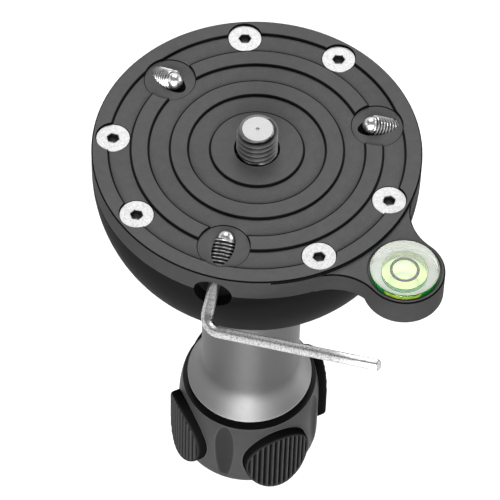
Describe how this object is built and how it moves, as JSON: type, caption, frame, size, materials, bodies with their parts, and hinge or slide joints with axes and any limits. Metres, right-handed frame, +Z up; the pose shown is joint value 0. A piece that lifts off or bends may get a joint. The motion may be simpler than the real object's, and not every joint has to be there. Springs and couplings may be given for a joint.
{
  "type": "leveling base",
  "caption": "Half-ball leveling base: a round plate with a head stud, slanted lock screws and a bubble level over a bowl ball, pulled tight by a turning handle with a ribbed knob.",
  "frame": {"origin": "centre of the plate's top face, where the head stud leaves it", "axes": "+Z up along the head stud, +X from the plate's centre to the ear that carries the level"},
  "size_m": [0.1018, 0.0776, 0.1224],
  "materials": {
    "plate_black": "satin black anodised, finely faced",
    "ball_black": "satin black anodised",
    "stud_steel": "bright plated",
    "screw_steel": "bright plated",
    "set_screw_steel": "plain steel",
    "key_steel": "nickel plated",
    "level_clear": "clear polished acrylic",
    "level_green": "yellow-green liquid",
    "level_black": "printed line",
    "level_pale": "pale reflecting disc",
    "level_rim": "black bedding ring",
    "rod_steel": "plain steel",
    "nut_steel": "plain steel",
    "cup_plastic": "moulded black",
    "bronze": "plain turned bronze",
    "bush_brass": "plain turned",
    "column_alu": "silver, finely turned satin",
    "knob_plastic": "moulded dark grey",
    "grip_rubber": "soft ribbed",
    "cap_plastic": "moulded black"
  },
  "bodies": {
    "base": {"top_plate": "plate_black", "half_ball": "ball_black", "head_stud": "stud_steel", "plate_screws": "screw_steel", "level_body": "level_clear", "level_liquid": "level_green", "level_target": "level_black", "level_backing": "level_pale", "level_seat": "level_rim", "tie_rod": "rod_steel", "rod_washer": "nut_steel", "rod_nut": "nut_steel"},
    "front_screw": {"set_screw_front": "set_screw_steel"},
    "right_screw": {"set_screw_right": "set_screw_steel"},
    "left_screw": {"set_screw_left": "set_screw_steel"},
    "key": {"hex_key": "key_steel"},
    "clamp": {"clamp_cup": "cup_plastic", "thrust_washer": "bronze"},
    "handle": {"snap_ring": "nut_steel", "threaded_bush": "bush_brass", "column": "column_alu", "knob_body": "knob_plastic", "grip_pad_1": "grip_rubber", "grip_pad_2": "grip_rubber", "grip_pad_3": "grip_rubber", "grip_pad_4": "grip_rubber", "knob_screws": "nut_steel", "end_cap": "cap_plastic"}
  },
  "joints": [
    {"name": "front_screw_slide", "type": "slide", "parent": "base", "child": "front_screw", "axis": [-0.4308, 0.7462, 0.5075], "range_m": [-0.0045, 0.0015]},
    {"name": "right_screw_slide", "type": "slide", "parent": "base", "child": "right_screw", "axis": [-0.4308, -0.7462, 0.5075], "range_m": [-0.0045, 0.0015]},
    {"name": "left_screw_slide", "type": "slide", "parent": "base", "child": "left_screw", "axis": [0.8616, 0, 0.5075], "range_m": [-0.0045, 0.0015]},
    {"name": "key_pull", "type": "slide", "parent": "front_screw", "child": "key", "axis": [0.4308, -0.7462, -0.5075], "range_m": [0, 0.02]},
    {"name": "clamp_slide", "type": "slide", "parent": "base", "child": "clamp", "axis": [0, 0, -1], "range_m": [0, 0.0121]},
    {"name": "handle_turn", "type": "hinge", "parent": "clamp", "child": "handle", "pos_m": [0, 0, -0.09], "axis": [0, 0, -1], "range_deg": [0, 2880]}
  ],
  "couplings": [
    {"joint": "clamp_slide", "follows": "handle_turn", "m_per_rad": 0.00023873}
  ]
}
